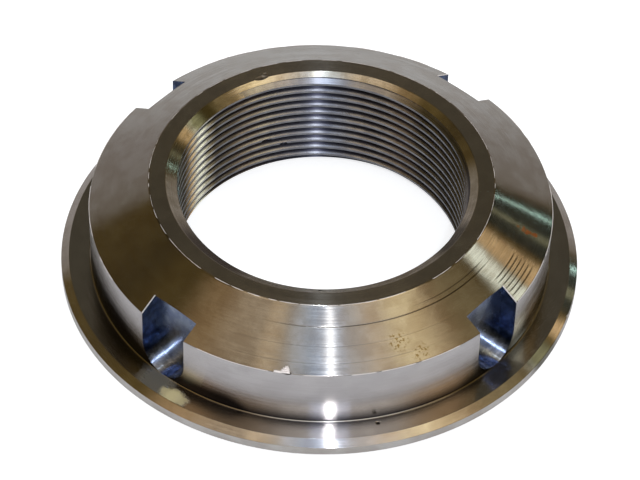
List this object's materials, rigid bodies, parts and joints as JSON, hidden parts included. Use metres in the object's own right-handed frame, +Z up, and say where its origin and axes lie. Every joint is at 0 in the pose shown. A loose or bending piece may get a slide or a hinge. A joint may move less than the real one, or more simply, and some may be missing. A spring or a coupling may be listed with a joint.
{
  "type": "flange nut",
  "caption": "Round flanged nut with a fine internal thread, a conical crown and milled spanner slots in its rim.",
  "frame": {"origin": "centre of the flange's flat bearing face, on the thread axis", "axes": "+Z up the thread axis, from the bearing face to the crown; two of the spanner slots look along +X and -X, the other two along +Y and -Y"},
  "size_m": [0.105, 0.105, 0.0232],
  "materials": {
    "turned_steel": "bright turned"
  },
  "bodies": {
    "root": {"flange_nut": "turned_steel"}
  },
  "joints": []
}
